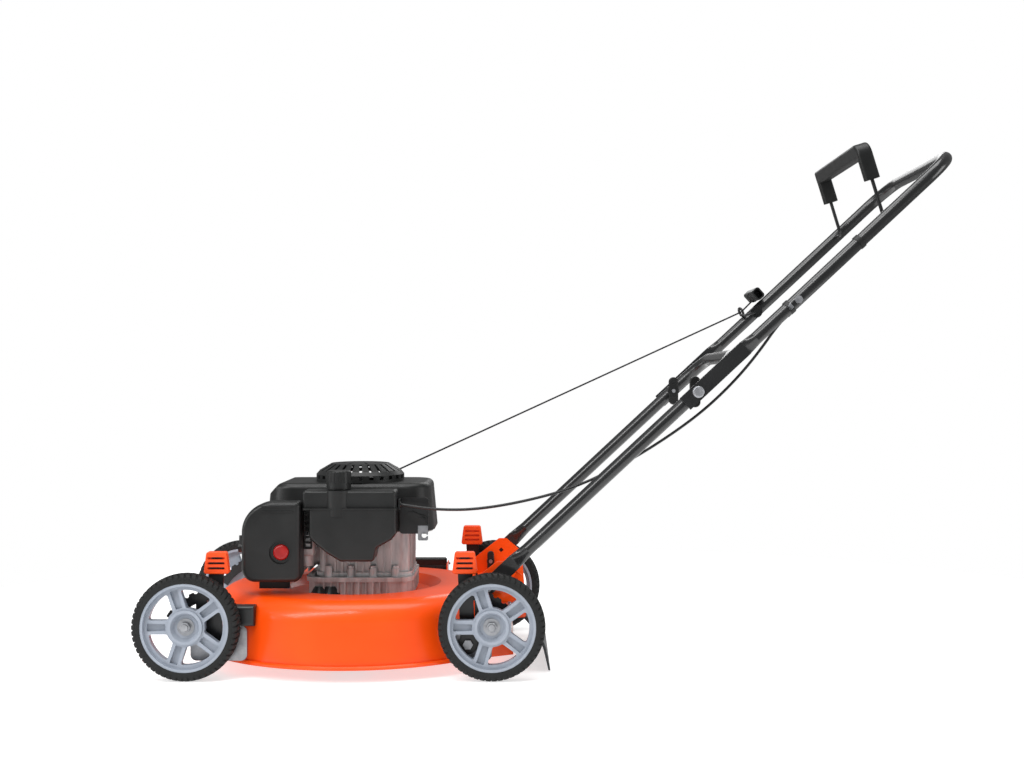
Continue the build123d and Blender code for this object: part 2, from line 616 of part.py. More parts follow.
def make_fuel_tank():
    wall = 3.0
    outline = Polyline(
        (-469, 352), (-300, 352), (-300, 268), (-308, 257), (-338, 240), (-344, 214), (-408, 214),
        (-434, 230), (-461, 252), (-469, 262), close=True,
    )
    profile = fillet(make_face(outline).vertices(), 7.0)
    tank = in_xz(profile, TANK_Y[0], TANK_Y[1] - TANK_Y[0])
    tank = fillet(tank.faces().sort_by(Axis.Y)[0].edges(), 6.0)
    tank -= block(-500, -290, TANK_Y[0] - 5, TANK_Y[0] + 9, TANK_SEAM, 360)
    shoulder = block(-483, -301, TANK_Y[0] + 7, TANK_Y[1], TANK_SEAM, 352)
    shoulder = fillet(shoulder.edges().filter_by(Axis.Z), 6.0)
    shoulder = fillet(shoulder.faces().sort_by(Axis.Z)[-1].edges(), 6.0)
    tank += shoulder
    seam = block(-482.5, -298.5, TANK_Y[0] - 1.5, TANK_Y[1], TANK_SEAM - 1.5, TANK_SEAM + 1.5)
    tank += fillet(seam.edges().filter_by(Axis.Z), 8.0)
    tank += post(FILLER_X, FILLER_Y - 14, 302, 352, 24.0)
    tank += post(FILLER_X, FILLER_Y, 345, 366, 17.0)
    tank -= in_xz(offset(profile, -wall), TANK_Y[0] + 12, TANK_Y[1] - TANK_Y[0] - 15)
    tank -= post(FILLER_X, FILLER_Y, 330, 370, FILLER_BORE)
    keep("fuel_tank", tank)
    cap = post(FILLER_X, FILLER_Y, 366.5, 390, 24.5)
    cap = fillet(cap.faces().sort_by(Axis.Z)[-1].edges(), 4.0)
    for i in range(18):
        angle = math.radians(i * 20)
        flute = Cylinder(1.8, 30)
        cap -= Pos(FILLER_X + 25.2 * math.cos(angle), FILLER_Y + 25.2 * math.sin(angle), 378) * flute
    skirt = post(FILLER_X, FILLER_Y, 354, 367, 24.0) - post(FILLER_X, FILLER_Y, 350, 367, 17.0 + GAP)
    keep("fuel_cap", cap + skirt)


def filter_outline(inset):
    """The air filter seen from the side: one large rounded corner at the top front."""
    x0, x1 = FILTER_X[0] + inset, FILTER_X[1] - inset
    z0, z1 = FILTER_Z[0] + inset, FILTER_Z[1] - inset
    face = make_face(Polyline((x0, z0), (x1, z0), (x1, z1), (x0, z1), close=True))
    for where, radius in (((x0, z1), 60.0), ((x0, z0), 26.0), ((x1, z0), 12.0), ((x1, z1), 10.0)):
        corner = face.vertices().sort_by_distance((*where, 0))[0]
        face = fillet(corner, max(radius - inset, 3.0))
    return face


def make_air_filter():
    base = in_xz(filter_outline(2.0), FILTER_SPLIT + GAP, 26.0)
    base -= in_xz(filter_outline(8.0), FILTER_SPLIT - 1, 22.0)
    base += in_xz(filter_outline(30.0), FILTER_SPLIT + 4, 19.0)
    base += block(-576, -516, -130, -122.3, 154, 186)
    keep("air_filter_base", base)
    cover = in_xz(filter_outline(0.0), FILTER_FACE, FILTER_SPLIT - FILTER_FACE)
    cover = fillet(cover.faces().sort_by(Axis.Y)[0].edges(), 9.0)
    cover -= in_xz(filter_outline(3.0), FILTER_FACE + 8, 40.0)
    for z in (322.0, 312.0):
        cover += block(-560, -500, FILTER_FACE - 1.5, FILTER_FACE + 3, z - 1.5, z + 1.5)
    px, pz = PRIMER
    cover -= rod(px, pz, FILTER_FACE - 2, FILTER_FACE + 5, 22.5)
    cover += rod(px, pz, FILTER_FACE + 5, FILTER_FACE + 16, 24.5)
    cover -= rod(px, pz, FILTER_FACE - 2, FILTER_FACE + 20, PRIMER_R + GAP)
    keep("air_filter_cover", cover)
    bulb = rod(px, pz, FILTER_FACE, FILTER_FACE + 16, PRIMER_R)
    keep("primer_bulb", fillet(bulb.faces().sort_by(Axis.Y)[0].edges(), 6.0))


def make_carburetor():
    body = rounded_box(-503, -470, -119, -88, 216, 257, 4.0)
    throat = rod(-486.5, 238, -125, -54.5, 13.0)
    bowl = post(-486.5, -103, 196, 220, 14.5)
    choke = block(-489, -484, -121.5, -117, 236, 259)
    keep("carburetor", body + throat + bowl + choke)


def make_muffler():
    can = rounded_box(-584, -496, 62, 146, 180, 256, 12.0)
    can -= rounded_box(-582, -498, 64, 144, 182, 254, 10.0)
    for i in range(6):
        z = 196 + 9 * i
        can -= block(-570, -510, 142, 150, z - 1.6, z + 1.6)
    pipe = rod(-540, 219, 53.2, 63, 12.0)
    keep("muffler", can + pipe)


def make_cable_bracket():
    """The plate at the engine's left rear corner, with the brake lever's pivot pin and the cable stop."""
    plate = block(-297.5, -240, -123.5, -121, 262, 334)
    plate = fillet(plate.edges().filter_by(Axis.Y), 6.0)
    arm = block(-297.5, -294, -158, -121, 313, 333)
    x, y, z = CABLE_ROUTE[0]
    stop = Pos(x + 1, y, z) * Cylinder(5.5, 5, rotation=(0, 90, 0))
    foot = block(-292, -258, -121, -104.5, 268, 271)
    pin = rod(BRAKE[0], BRAKE[1], -131, -121, BRAKE_PIN_R)
    washer = rod(BRAKE[0], BRAKE[1], -131, -128.8, 5.5)
    bracket = plate + arm + stop + foot + pin + washer
    bracket -= Pos(x + 5, y, z) * Cylinder(CABLE_R + RUN, 10, rotation=(0, 90, 0))
    keep("cable_bracket", bracket - Pos(x, y, z) * Cylinder(1.4, 20, rotation=(0, 90, 0)))


def make_brake_lever():
    """The zinc tab that the control cable turns to stop the engine, with a hooked hole at its lower end."""
    x, z = BRAKE
    outline = capsule((x, z), (x, z - 20), 18.0) + capsule((x, z), (x - 22, z + 10), 14.0)
    outline += Pos(x + 1, z - 24) * RectangleRounded(20.0, 34.0, 3.0)
    outline -= Pos(x, z) * Circle(BRAKE_PIN_R + RUN)
    outline -= Pos(x + 3.5, z - 31) * Circle(5.2)
    outline -= Pos(x + 9.5, z - 31) * Rectangle(6.0, 2.8)
    keep("brake_lever", in_xz(outline, -127.5, 2.5))


def make_crank():
    """The parts that turn with the crankshaft: flywheel above, blade below."""
    shaft = post(ENGINE_X, 0, 52, 368, CRANK_R)
    keep("crankshaft", shaft)
    flywheel = post(ENGINE_X, 0, 282, 300, 84.0) + post(ENGINE_X, 0, 300, 330, 34.0)
    for i in range(16):
        fin = Pos(ENGINE_X, 0, 0) * Rot(0, 0, i * 22.5) * block(40, 82, -1.5, 1.5, 299, 328)
        flywheel += fin
    flywheel -= post(ENGINE_X, 0, 270, 340, CRANK_R)
    keep("flywheel", flywheel)
    adapter = post(ENGINE_X, 0, 56, 98, 21.0) + block(-425, -355, -28, 28, BLADE_Z + 4, 57)
    keep("blade_adapter", adapter - post(ENGINE_X, 0, 51, 100, CRANK_R))
    blade = block(ENGINE_X - 29, ENGINE_X + 29, -BLADE_R, BLADE_R, BLADE_Z, BLADE_Z + 4)
    blade = fillet(blade.edges().filter_by(Axis.Z), 6.0)
    for turn in (0, 180):
        wing = Location((ENGINE_X, 0, 0), (0, 0, turn))
        wing *= Location((24, BLADE_R - 42, BLADE_Z + 2), (0, -35, 0))
        blade += wing * Pos(9, 0, 0) * Box(24, 76, 3.6)
    bolt = post(ENGINE_X, 0, BLADE_Z - 10, BLADE_Z + 8, 5.0)
    head = Pos(ENGINE_X, 0, BLADE_Z - 10) * extrude(RegularPolygon(9, 6, major_radius=False), 10)
    keep("blade", blade + head + bolt)


# ---------------------------------------------------------------- handle
def flat_section(s0, s1, y, hole_s, round_end=True):
    """A pressed flat length of tube with a round or square lower end, drilled for a bolt."""
    length = s1 - s0
    half = FLAT_T / 2
    strip = Pos(length / 2, 0, 0) * Box(length, FLAT_T, FLAT_W)
    if round_end:
        strip += Cylinder(FLAT_W / 2, FLAT_T, rotation=(90, 0, 0))
    strip = Location(on_handle(s0, y), (0, -math.degrees(SLOPE), 0)) * strip
    x, _, z = on_handle(hole_s, 0)
    return strip - rod(x, z, y - half - 1, y + half + 1, BOLT_R + RUN)


def flat_to_round(s0, s1, y):
    flat = across_handle(s0, y) * RectangleRounded(FLAT_T, FLAT_W, 3.0)
    full = across_handle(s1, y) * Circle(TUBE_R)
    return loft([flat, full])


def make_lower_handle():
    flat_end, round_start = PIVOT_S + 72, PIVOT_S + 106
    corner = 62.0
    points = [
        on_handle(round_start, -LOWER_Y), on_handle(LOWER_TOP_S, -LOWER_Y),
        on_handle(LOWER_TOP_S, LOWER_Y), on_handle(round_start, LOWER_Y),
    ]
    handle = swept(points, corner, TUBE_R, TUBE_R - TUBE_WALL)
    for side in (-1, 1):
        handle += flat_section(PIVOT_S, flat_end, side * LOWER_Y, PIVOT_S)
        handle += flat_to_round(flat_end, round_start, side * LOWER_Y)
    x, _, z = on_handle(JOINT_S, 0)
    handle -= rod(x, z, -230, 230, BOLT_R)
    keep("lower_handle", handle)


def make_upper_handle():
    flat_y = UPPER_Y - 1.8
    round_start = FLAT_END_S + 26
    corner = 70.0
    points = [
        on_handle(round_start, -UPPER_Y), on_handle(UPPER_TOP_S, -UPPER_Y),
        on_handle(UPPER_TOP_S, UPPER_Y), on_handle(round_start, UPPER_Y),
    ]
    handle = swept(points, corner, TUBE_R, TUBE_R - TUBE_WALL)
    for side in (-1, 1):
        handle += flat_section(JOINT_S - 34, FLAT_END_S, side * flat_y, JOINT_S, round_end=False)
        flat = across_handle(FLAT_END_S, side * flat_y) * RectangleRounded(FLAT_T, FLAT_W, 3.0)
        full = across_handle(round_start, side * UPPER_Y) * Circle(TUBE_R)
        handle += loft([flat, full])
    bail_x, _, bail_z = on_handle(BAIL_S, 0)
    for side in (-1, 1):
        handle -= rod(bail_x, bail_z, side * 196, side * 208, BAIL_WIRE_R + RUN)
    guide_x, _, guide_z = on_handle(GUIDE_S, 0)
    handle -= rod(guide_x, guide_z, -235, 235, BOLT_R)
    keep("upper_handle", handle)


def dome_head(x, z, y_in, y_out, radius):
    head = rod(x, z, y_in, y_out, radius)
    outer = head.faces().sort_by(Axis.Y)[-1 if y_out > y_in else 0]
    return fillet(outer.edges(), abs(y_out - y_in) * 0.7)


def make_handle_fasteners():
    x, _, z = on_handle(JOINT_S, 0)
    bolts = []
    for side in (-1, 1):
        head = dome_head(x, z, side * 215.5, side * 220.5, 11.5)
        bolts.append(head + rod(x, z, side * 162, side * 216, BOLT_R))
    keep("handle_joint_bolts", Compound(bolts))
    gx, _, gz = on_handle(GUIDE_S, 0)
    bolt = rod(gx, gz, -228, -197, BOLT_R) + hex_bar(gx, gz, -231, -225.7, 14)
    items = [bolt + hex_bar(gx, gz, -200.2, -197, 12)]
    for point, slant in ((CABLE_ROUTE[15], 47.0), (CABLE_ROUTE[18], 44.0)):
        items.append(cable_clip(point, slant))
    keep("upper_fasteners", Compound(items))


def cable_clip(point, slant):
    """A band that holds the cable to the inner side of the left tube."""
    s = (point[0] - LINE_X) * math.cos(SLOPE) + point[2] * math.sin(SLOPE)
    tube_band = extrude(across_handle(s, -UPPER_Y) * (Circle(TUBE_R + 1.6) - Circle(TUBE_R)), 10)
    reach = Location(point, (0, -slant, 0))
    ring = Cylinder(CABLE_R + 3.0, 9, rotation=(0, 90, 0)) - Cylinder(CABLE_R + 1.5, 12, rotation=(0, 90, 0))
    ring = reach * ring
    centre = on_handle(s + 5, -UPPER_Y)
    strap_path = Line(centre, (point[0], point[1], point[2]))
    strap = sweep(Plane(origin=strap_path @ 0, z_dir=strap_path % 0) * Rectangle(5, 5), path=strap_path)
    tube = extrude(across_handle(s - 20, -UPPER_Y) * Circle(TUBE_R), 60)
    hole = reach * Cylinder(CABLE_R + 1.5, 60, rotation=(0, 90, 0))
    return tube_band + ring + (strap - tube - hole)


def make_rope_guide():
    """The pigtail on the right tube that keeps the starter rope within reach."""
    gx, _, gz = on_handle(GUIDE_S, 0)
    bolt = rod(gx, gz, 190, 230, BOLT_R) + hex_bar(gx, gz, 225.8, 231, 13)
    disc = rod(gx, gz, 196, 200.2, 13.0)
    ex, ey, ez = ROPE_ROUTE[1]
    eye_plane = Plane(origin=(ex, ey, ez), z_dir=Vector(*ROPE_ROUTE[1]) - Vector(*ROPE_ROUTE[0]))
    eye = Location(eye_plane) * Torus(9.0, 2.8)
    stem_points = [(gx, 192.5, gz), (gx - 26, 192.5, gz - 8), (ex - 3, ey - 6, ez - 7)]
    stem = swept(stem_points, 6.0, 2.8)
    keep("rope_guide", bolt + disc + eye + stem + rod(gx, gz, 189.5, 196, 6.5))


def make_wing_knob(label, x, z, side, y_face, span, thickness):
    """A two-winged clamping knob on a bolt, its flat face towards the tube."""
    wings = Rot(0, 0, 90) * SlotOverall(span, span * 0.34)
    y_in = y_face if side < 0 else y_face - thickness
    plate = in_xz(Pos(x, z) * wings, y_in, thickness * 0.6 if side < 0 else thickness)
    if side > 0:
        plate = plate & block(x - 99, x + 99, y_face - thickness, y_face - thickness * 0.4, z - 99, z + 99)
    else:
        plate = Pos(0, thickness * 0.4, 0) * plate
    plate = fillet(plate.faces().filter_by(Axis.Y).edges(), 2.0)
    hub = rod(x, z, y_face, y_face - side * thickness, span * 0.19)
    knob = plate + hub - rod(x, z, y_face - 60, y_face + 60, BOLT_R + RUN)
    keep(label, knob)


def make_bail():
    """The wire bail that keeps the engine running, and its moulded cover."""
    bx, _, bz = on_handle(BAIL_S, 0)
    top_x = bx + BAIL_LEN * math.cos(BAIL_ANGLE)
    top_z = bz + BAIL_LEN * math.sin(BAIL_ANGLE)
    points = [
        (bx, -206, bz), (bx, -BAIL_Y, bz), (top_x, -BAIL_Y, top_z),
        (top_x, BAIL_Y, top_z), (bx, BAIL_Y, bz), (bx, 206, bz),
    ]
    wire = swept(points, 9.0, BAIL_WIRE_R)
    end = Vector(*CABLE_ROUTE[-1])
    along = (end - Vector(*CABLE_ROUTE[-2])).normalized()
    ferrule = extrude(Plane(origin=end, z_dir=along) * Circle(4.5), 12)
    tip = end + along * 7
    link = in_xz(capsule((bx, bz), (tip.X, tip.Z), 11.0), tip.Y - 1.2, 2.4)
    keep("bail_wire", wire + ferrule + link)
    start = 0.53
    low_x = bx + BAIL_LEN * start * math.cos(BAIL_ANGLE)
    low_z = bz + BAIL_LEN * start * math.sin(BAIL_ANGLE)
    cover_path = FilletPolyline(
        (low_x, -BAIL_Y, low_z), (top_x, -BAIL_Y, top_z), (top_x, BAIL_Y, top_z), (low_x, BAIL_Y, low_z),
        radius=16.0,
    )
    along = (math.cos(BAIL_ANGLE), 0, math.sin(BAIL_ANGLE))
    section = Plane(origin=(low_x, -BAIL_Y, low_z), x_dir=(0, 1, 0), z_dir=along)
    cover = sweep(section * RectangleRounded(17, 30, 5.0), path=cover_path)
    beam_plane = Plane(origin=(top_x, -BAIL_Y - 8.5, top_z), x_dir=along, z_dir=(0, 1, 0))
    beam = extrude(beam_plane * Pos(-5.5, 0) * RectangleRounded(28, 30, 5.0), 2 * BAIL_Y + 17)
    keep("bail_grip", cover + fillet(beam.faces().filter_by(Axis.Y).edges(), 4.0) - wire)


def make_starter_grip():
    ex, ey, ez = ROPE_ROUTE[2]
    grip_x, grip_z = ex + 4, ez + 13
    face = Plane(origin=(grip_x, ey - 50, grip_z), x_dir=(1, 0, 0.9), z_dir=(0, 1, 0))
    grip = extrude(face * RectangleRounded(20, 26, 6.0), 100)
    pocket = extrude(face * RectangleRounded(14, 20, 4.0), 26)
    waist = Location((grip_x - 3, ey, grip_z - 3)) * Sphere(13.5)
    grip = grip - pocket + waist
    end = Vector(*ROPE_ROUTE[2])
    along = (end - Vector(*ROPE_ROUTE[1])).normalized()
    seat = extrude(Plane(origin=end - along * 40, z_dir=along) * Circle(ROPE_R + 2), 40)
    keep("starter_grip", grip - seat)


def cable_radii(route):
    """Each arc as large as its two runs allow."""
    radii = []
    for a, b, c in zip(route, route[1:], route[2:]):
        first = Vector(*b) - Vector(*a)
        second = Vector(*c) - Vector(*b)
        half_turn = math.radians(first.get_angle(second)) / 2
        radii.append(0.45 * min(first.length, second.length) / math.tan(half_turn))
    return radii


def make_cords():
    keep("starter_rope", swept(ROPE_ROUTE, [ROPE_GUIDE_ARC], ROPE_R))
    path = FilletPolyline(*CABLE_ROUTE, radius=cable_radii(CABLE_ROUTE))
    cable = sweep(Plane(origin=path @ 0, z_dir=path % 0) * Circle(CABLE_R), path=path)
    keep("control_cable", cable)


def make_all():
    for end in ("front", "rear"):
        for side, hand in ((-1, "left"), (1, "right")):
            make_corner(end, side, f"{end}_{hand}")
    deck = make_deck()
    make_wheel_brackets(deck)
    make_handle_brackets(deck)
    make_deck_fasteners()
    make_discharge_door()
    make_trailing_shield()
    make_crankcase()
    make_cylinder_head()
    make_blower_housing()
    make_recoil_cover()
    make_fuel_tank()
    make_air_filter()
    make_carburetor()
    make_muffler()
    make_cable_bracket()
    make_brake_lever()
    make_crank()
    make_lower_handle()
    make_upper_handle()
    make_handle_fasteners()
    make_rope_guide()
    low_x, _, low_z = on_handle(PIVOT_S, 0)
    up_x, _, up_z = on_handle(JOINT_S, 0)
    for side, hand in ((-1, "left"), (1, "right")):
        make_wing_knob(f"lower_wing_knob_{hand}", low_x, low_z, side, side * (BRACKET_Y - GAP), 44.0, 16.0)
        make_wing_knob(f"upper_wing_knob_{hand}", up_x, up_z, side, side * (LOWER_Y - TUBE_R - GAP), 61.0, 18.0)
    make_bail()
    make_starter_grip()
    make_cords()


make_all()
os.makedirs("parts", exist_ok=True)
for node, shape in NODES.items():
    export_step(shape, f"parts/{node}.step")
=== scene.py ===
import json
import math
import bmesh
import bpy
from mathutils import Matrix, Vector


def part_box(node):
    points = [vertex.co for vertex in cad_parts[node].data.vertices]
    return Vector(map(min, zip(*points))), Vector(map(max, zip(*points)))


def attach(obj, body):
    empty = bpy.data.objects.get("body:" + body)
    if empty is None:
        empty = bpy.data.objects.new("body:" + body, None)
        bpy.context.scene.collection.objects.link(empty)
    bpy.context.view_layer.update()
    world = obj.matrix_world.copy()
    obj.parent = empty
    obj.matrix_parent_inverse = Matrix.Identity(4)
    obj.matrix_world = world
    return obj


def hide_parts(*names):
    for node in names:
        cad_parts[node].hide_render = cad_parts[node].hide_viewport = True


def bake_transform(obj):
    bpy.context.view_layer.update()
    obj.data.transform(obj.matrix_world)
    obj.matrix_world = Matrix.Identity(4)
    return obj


# A petrol push mower. Everything is in metres, in the frame of the CAD model:
# front at -X, left side at -Y, ground at Z = 0.

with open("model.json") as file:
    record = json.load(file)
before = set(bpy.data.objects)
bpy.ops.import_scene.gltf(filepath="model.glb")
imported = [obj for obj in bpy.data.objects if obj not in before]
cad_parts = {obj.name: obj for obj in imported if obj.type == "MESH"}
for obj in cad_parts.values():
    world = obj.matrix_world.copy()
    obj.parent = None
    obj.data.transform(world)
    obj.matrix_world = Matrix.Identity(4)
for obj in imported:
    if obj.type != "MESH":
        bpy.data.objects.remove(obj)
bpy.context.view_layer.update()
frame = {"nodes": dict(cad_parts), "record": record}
NODES = frame["nodes"]
CORNERS = ["front_left", "front_right", "rear_left", "rear_right"]


# ---------------------------------------------------------------- camera
SENSOR_MM = 36.0
LENS_MM = 45.27
CAMERA_PLACE = (-0.0738, -2.689, 0.5603)
CLIP_END = 30.0


def make_camera():
    """A level camera square to the mower's left side, a little above its middle."""
    data = bpy.data.cameras.new("camera")
    data.sensor_width = SENSOR_MM
    data.lens = LENS_MM
    data.clip_end = CLIP_END
    camera = bpy.data.objects.new("camera", data)
    camera.location = CAMERA_PLACE
    camera.rotation_euler = (math.radians(90), 0, 0)
    bpy.context.scene.collection.objects.link(camera)
    bpy.context.scene.camera = camera


make_camera()


# ---------------------------------------------------------------- materials
DRIFT_DETAIL = 4.0
DRIFT_SPAN = (0.3, 0.7)
GRAIN_DETAIL = 3.0
# How strong a grain is, how fine it is per metre, and how deep it is.
PLAIN_GRAIN = (0.1, 900.0, 0.0002)
NO_GRAIN = (0.0, 900.0, 0.0002)
WEAVE_FINENESS = 320.0
WEAVE_STRENGTH = 0.6
WEAVE_DEPTH = 0.0004


def linear(r, g, b):
    """A colour given as 0-255 screen values, as linear light."""
    def one(c):
        c = c / 255
        return c / 12.92 if c <= 0.04045 else ((c + 0.055) / 1.055) ** 2.4
    return (one(r), one(g), one(b), 1.0)


def add_node(tree, kind, values):
    """A shader node with the named inputs set."""
    node = tree.nodes.new("ShaderNode" + kind)
    for name, value in values.items():
        node.inputs[name].default_value = value
    return node


def surface(name, low, high, drift, rough, grain=PLAIN_GRAIN, metallic=0.0, specular=0.5, coat=0.0,
            coat_rough=0.1, stretch=(1, 1, 1)):
    """A material whose colour drifts between low and high, and its roughness with it, under a fine grain.
    drift is the fineness of that change per metre, rough a (low, high) pair, and a stretch below 1 draws
    the pattern out along that axis."""
    material = bpy.data.materials.new(name)
    material.use_nodes = True
    tree = material.node_tree
    shader = tree.nodes["Principled BSDF"]
    shader.inputs["Metallic"].default_value = metallic
    shader.inputs["Coat Weight"].default_value = coat
    shader.inputs["Coat Roughness"].default_value = coat_rough
    shader.inputs["Specular IOR Level"].default_value = specular
    where = add_node(tree, "TexCoord", {})
    mapping = add_node(tree, "Mapping", {"Scale": stretch})
    tree.links.new(where.outputs["Object"], mapping.inputs["Vector"])
    noise = add_node(tree, "TexNoise", {"Scale": drift, "Detail": DRIFT_DETAIL})
    tree.links.new(mapping.outputs["Vector"], noise.inputs["Vector"])
    ramp = add_node(tree, "ValToRGB", {})
    for stop, position, colour in zip(ramp.color_ramp.elements, DRIFT_SPAN, (low, high)):
        stop.position = position
        stop.color = colour
    tree.links.new(noise.outputs["Fac"], ramp.inputs["Fac"])
    tree.links.new(ramp.outputs["Color"], shader.inputs["Base Color"])
    gloss = add_node(tree, "MapRange", {"From Min": DRIFT_SPAN[0], "From Max": DRIFT_SPAN[1],
                                        "To Min": rough[0], "To Max": rough[1]})
    tree.links.new(noise.outputs["Fac"], gloss.inputs["Value"])
    tree.links.new(gloss.outputs["Result"], shader.inputs["Roughness"])
    add_grain(tree, mapping, shader, *grain)
    return material


def add_grain(tree, mapping, shader, strength, fineness, depth):
    """Fine bumps all over the surface."""
    noise = add_node(tree, "TexNoise", {"Scale": fineness, "Detail": GRAIN_DETAIL})
    tree.links.new(mapping.outputs["Vector"], noise.inputs["Vector"])
    relief = add_node(tree, "Bump", {"Strength": strength, "Distance": depth})
    tree.links.new(noise.outputs["Fac"], relief.inputs["Height"])
    tree.links.new(relief.outputs["Normal"], shader.inputs["Normal"])


def rope_material():
    """Braided cord: a fine diagonal weave in place of the grain."""
    material = surface("rope", linear(20, 20, 21), linear(38, 38, 40), 60.0, (0.7, 0.85), specular=0.3)
    tree = material.node_tree
    weave = add_node(tree, "TexWave", {"Scale": WEAVE_FINENESS})
    weave.bands_direction = "DIAGONAL"
    relief = next(node for node in tree.nodes if node.type == "BUMP")
    relief.inputs["Strength"].default_value = WEAVE_STRENGTH
    relief.inputs["Distance"].default_value = WEAVE_DEPTH
    tree.links.new(weave.outputs["Fac"], relief.inputs["Height"])
    return material


BLACK = linear(22, 23, 23)
MATERIALS = {
    "orange_paint": surface(
        "orange_paint", linear(240, 74, 8), linear(246, 80, 12), 9.0, (0.28, 0.34),
        grain=(0.02, 260.0, 0.0003), specular=0.25, coat=0.22, coat_rough=0.12),
    "orange_plastic": surface(
        "orange_plastic", linear(232, 70, 10), linear(240, 78, 14), 30.0, (0.34, 0.44),
        grain=(0.12, 1400.0, 0.0001), specular=0.4),
    "black_plastic": surface(
        "black_plastic", BLACK, linear(29, 30, 30), 22.0, (0.36, 0.46),
        grain=(0.16, 1800.0, 0.0001), specular=0.4),
    "black_tube": surface(
        "black_tube", linear(23, 24, 25), linear(29, 30, 31), 14.0, (0.3, 0.36),
        grain=NO_GRAIN, coat=0.5, coat_rough=0.09),
    "black_steel": surface(
        "black_steel", linear(18, 19, 20), linear(26, 27, 28), 25.0, (0.3, 0.4), grain=NO_GRAIN),
    "zinc_plate": surface(
        "zinc_plate", linear(128, 130, 134), linear(172, 174, 178), 60.0, (0.28, 0.44),
        grain=(0.03, 900.0, 0.0002), metallic=0.6),
    "cast_aluminium": surface(
        "cast_aluminium", linear(146, 146, 147), linear(202, 201, 201), 70.0, (0.36, 0.52),
        grain=(0.25, 1300.0, 0.0003), metallic=0.28, stretch=(1, 1, 0.2)),
    "tyre_rubber": surface(
        "tyre_rubber", linear(23, 24, 24), linear(33, 34, 34), 40.0, (0.6, 0.8),
        grain=(0.3, 1500.0, 0.0002), specular=0.3),
    "wheel_plastic": surface(
        "wheel_plastic", linear(140, 148, 160), linear(154, 161, 172), 26.0, (0.36, 0.48),
        grain=(0.12, 1600.0, 0.0001)),
    "red_rubber": surface(
        "red_rubber", linear(138, 8, 8), linear(160, 14, 12), 60.0, (0.28, 0.4),
        grain=(0.1, 1200.0, 0.0002)),
    "blade_steel": surface(
        "blade_steel", linear(110, 110, 112), linear(150, 150, 152), 40.0, (0.3, 0.5),
        grain=(0.2, 500.0, 0.0002), metallic=1.0, stretch=(1, 0.1, 1)),
    "cable_sheath": surface(
        "cable_sheath", linear(16, 17, 18), linear(24, 25, 26), 40.0, (0.35, 0.45),
        grain=(0.1, 1500.0, 0.0002)),
    "rope_cord": rope_material(),
    "grey_flap": surface(
        "grey_flap", linear(34, 36, 38), linear(44, 47, 50), 18.0, (0.5, 0.62),
        grain=(0.3, 1200.0, 0.0002)),
}


# ---------------------------------------------------------------- finishes of the CAD nodes
# Where parts of one node with their own finish begin or end.
GUIDE_BOLT = (0.474, 0.722)
GUIDE_BOLT_REACH = 0.02
STUB_AXLE_Y = 0.2305
PLUG_SHELL_X = -0.609
PLUG_SHELL_TOP = 0.228
BRAKE_TAB_TOP = 0.2785
DOME_XS = (-0.460, -0.438)
DOME_Y = -0.100
DOME_Z = 0.130
DOME_HEIGHT = 0.024
DOME_R = 0.025
DOME_TOP_R = 0.010
# How far from a dome's top and from its cone the centre of one of its faces may lie.
HAIR = 0.0005
CONE_HAIR = 0.0012


def node_slots():
    """The material slot of every CAD node, as the record says."""
    return {part["node"]: part["material_slot"] for part in frame["record"]["subparts"]}


def dress_cad_nodes():
    """Every CAD node gets its slot's finish."""
    for node, slot in node_slots().items():
        obj = NODES[node]
        obj.data.materials.clear()
        obj.data.materials.append(MATERIALS[slot])


def paint_part(node, slot, belongs):
    """Give the faces of a CAD node whose centre passes the test another finish."""
    mesh = NODES[node].data
    mesh.materials.append(MATERIALS[slot])
    for polygon in mesh.polygons:
        if belongs(polygon.center):
            polygon.material_index = 1


def is_cable_clip(place):
    """Away from the rope guide's bolt, which shares the node with the clips."""
    x, z = GUIDE_BOLT
    return math.hypot(place.x - x, place.z - z) > GUIDE_BOLT_REACH


def is_stub_axle(place):
    """Further out than the strip of the lever."""
    return abs(place.y) > STUB_AXLE_Y


def is_plug_shell(place):
    """The bare metal between the cylinder head and the rubber boot."""
    return place.x > PLUG_SHELL_X and place.z < PLUG_SHELL_TOP


def is_drain_dome(place):
    """Within a hair of the sump's two low cones, or on their flat tops."""
    above_top = place.z - DOME_Z - DOME_HEIGHT
    if above_top > HAIR:
        return False
    radius = DOME_R - (DOME_R - DOME_TOP_R) * (place.z - DOME_Z) / DOME_HEIGHT
    distances = [math.hypot(place.x - x, place.y - DOME_Y) for x in DOME_XS]
    on_top = above_top > -HAIR and min(distances) < DOME_TOP_R + HAIR
    return on_top or min(abs(distance - radius) for distance in distances) < CONE_HAIR


def paint_above(material, height):
    """The same finish, black plastic from that height up."""
    tree = material.node_tree
    shader = tree.nodes["Principled BSDF"]
    where = next(node for node in tree.nodes if node.type == "TEX_COORD")
    split = add_node(tree, "SeparateXYZ", {})
    tree.links.new(where.outputs["Object"], split.inputs["Vector"])
    below = add_node(tree, "Math", {})
    below.operation = "LESS_THAN"
    below.inputs[1].default_value = height
    tree.links.new(split.outputs["Z"], below.inputs[0])
    shade = add_node(tree, "MixRGB", {"Color1": BLACK})
    tree.links.new(below.outputs["Value"], shade.inputs["Fac"])
    tree.links.new(shader.inputs["Base Color"].links[0].from_socket, shade.inputs["Color2"])
    tree.links.new(shade.outputs["Color"], shader.inputs["Base Color"])
    tree.links.new(below.outputs["Value"], shader.inputs["Metallic"])
    return material


def dress_brake_lever():
    """One strip of metal: its black pivot end is behind the housing, its bare tab hangs below."""
    finish = paint_above(MATERIALS["zinc_plate"].copy(), BRAKE_TAB_TOP)
    NODES["brake_lever"].data.materials[0] = finish


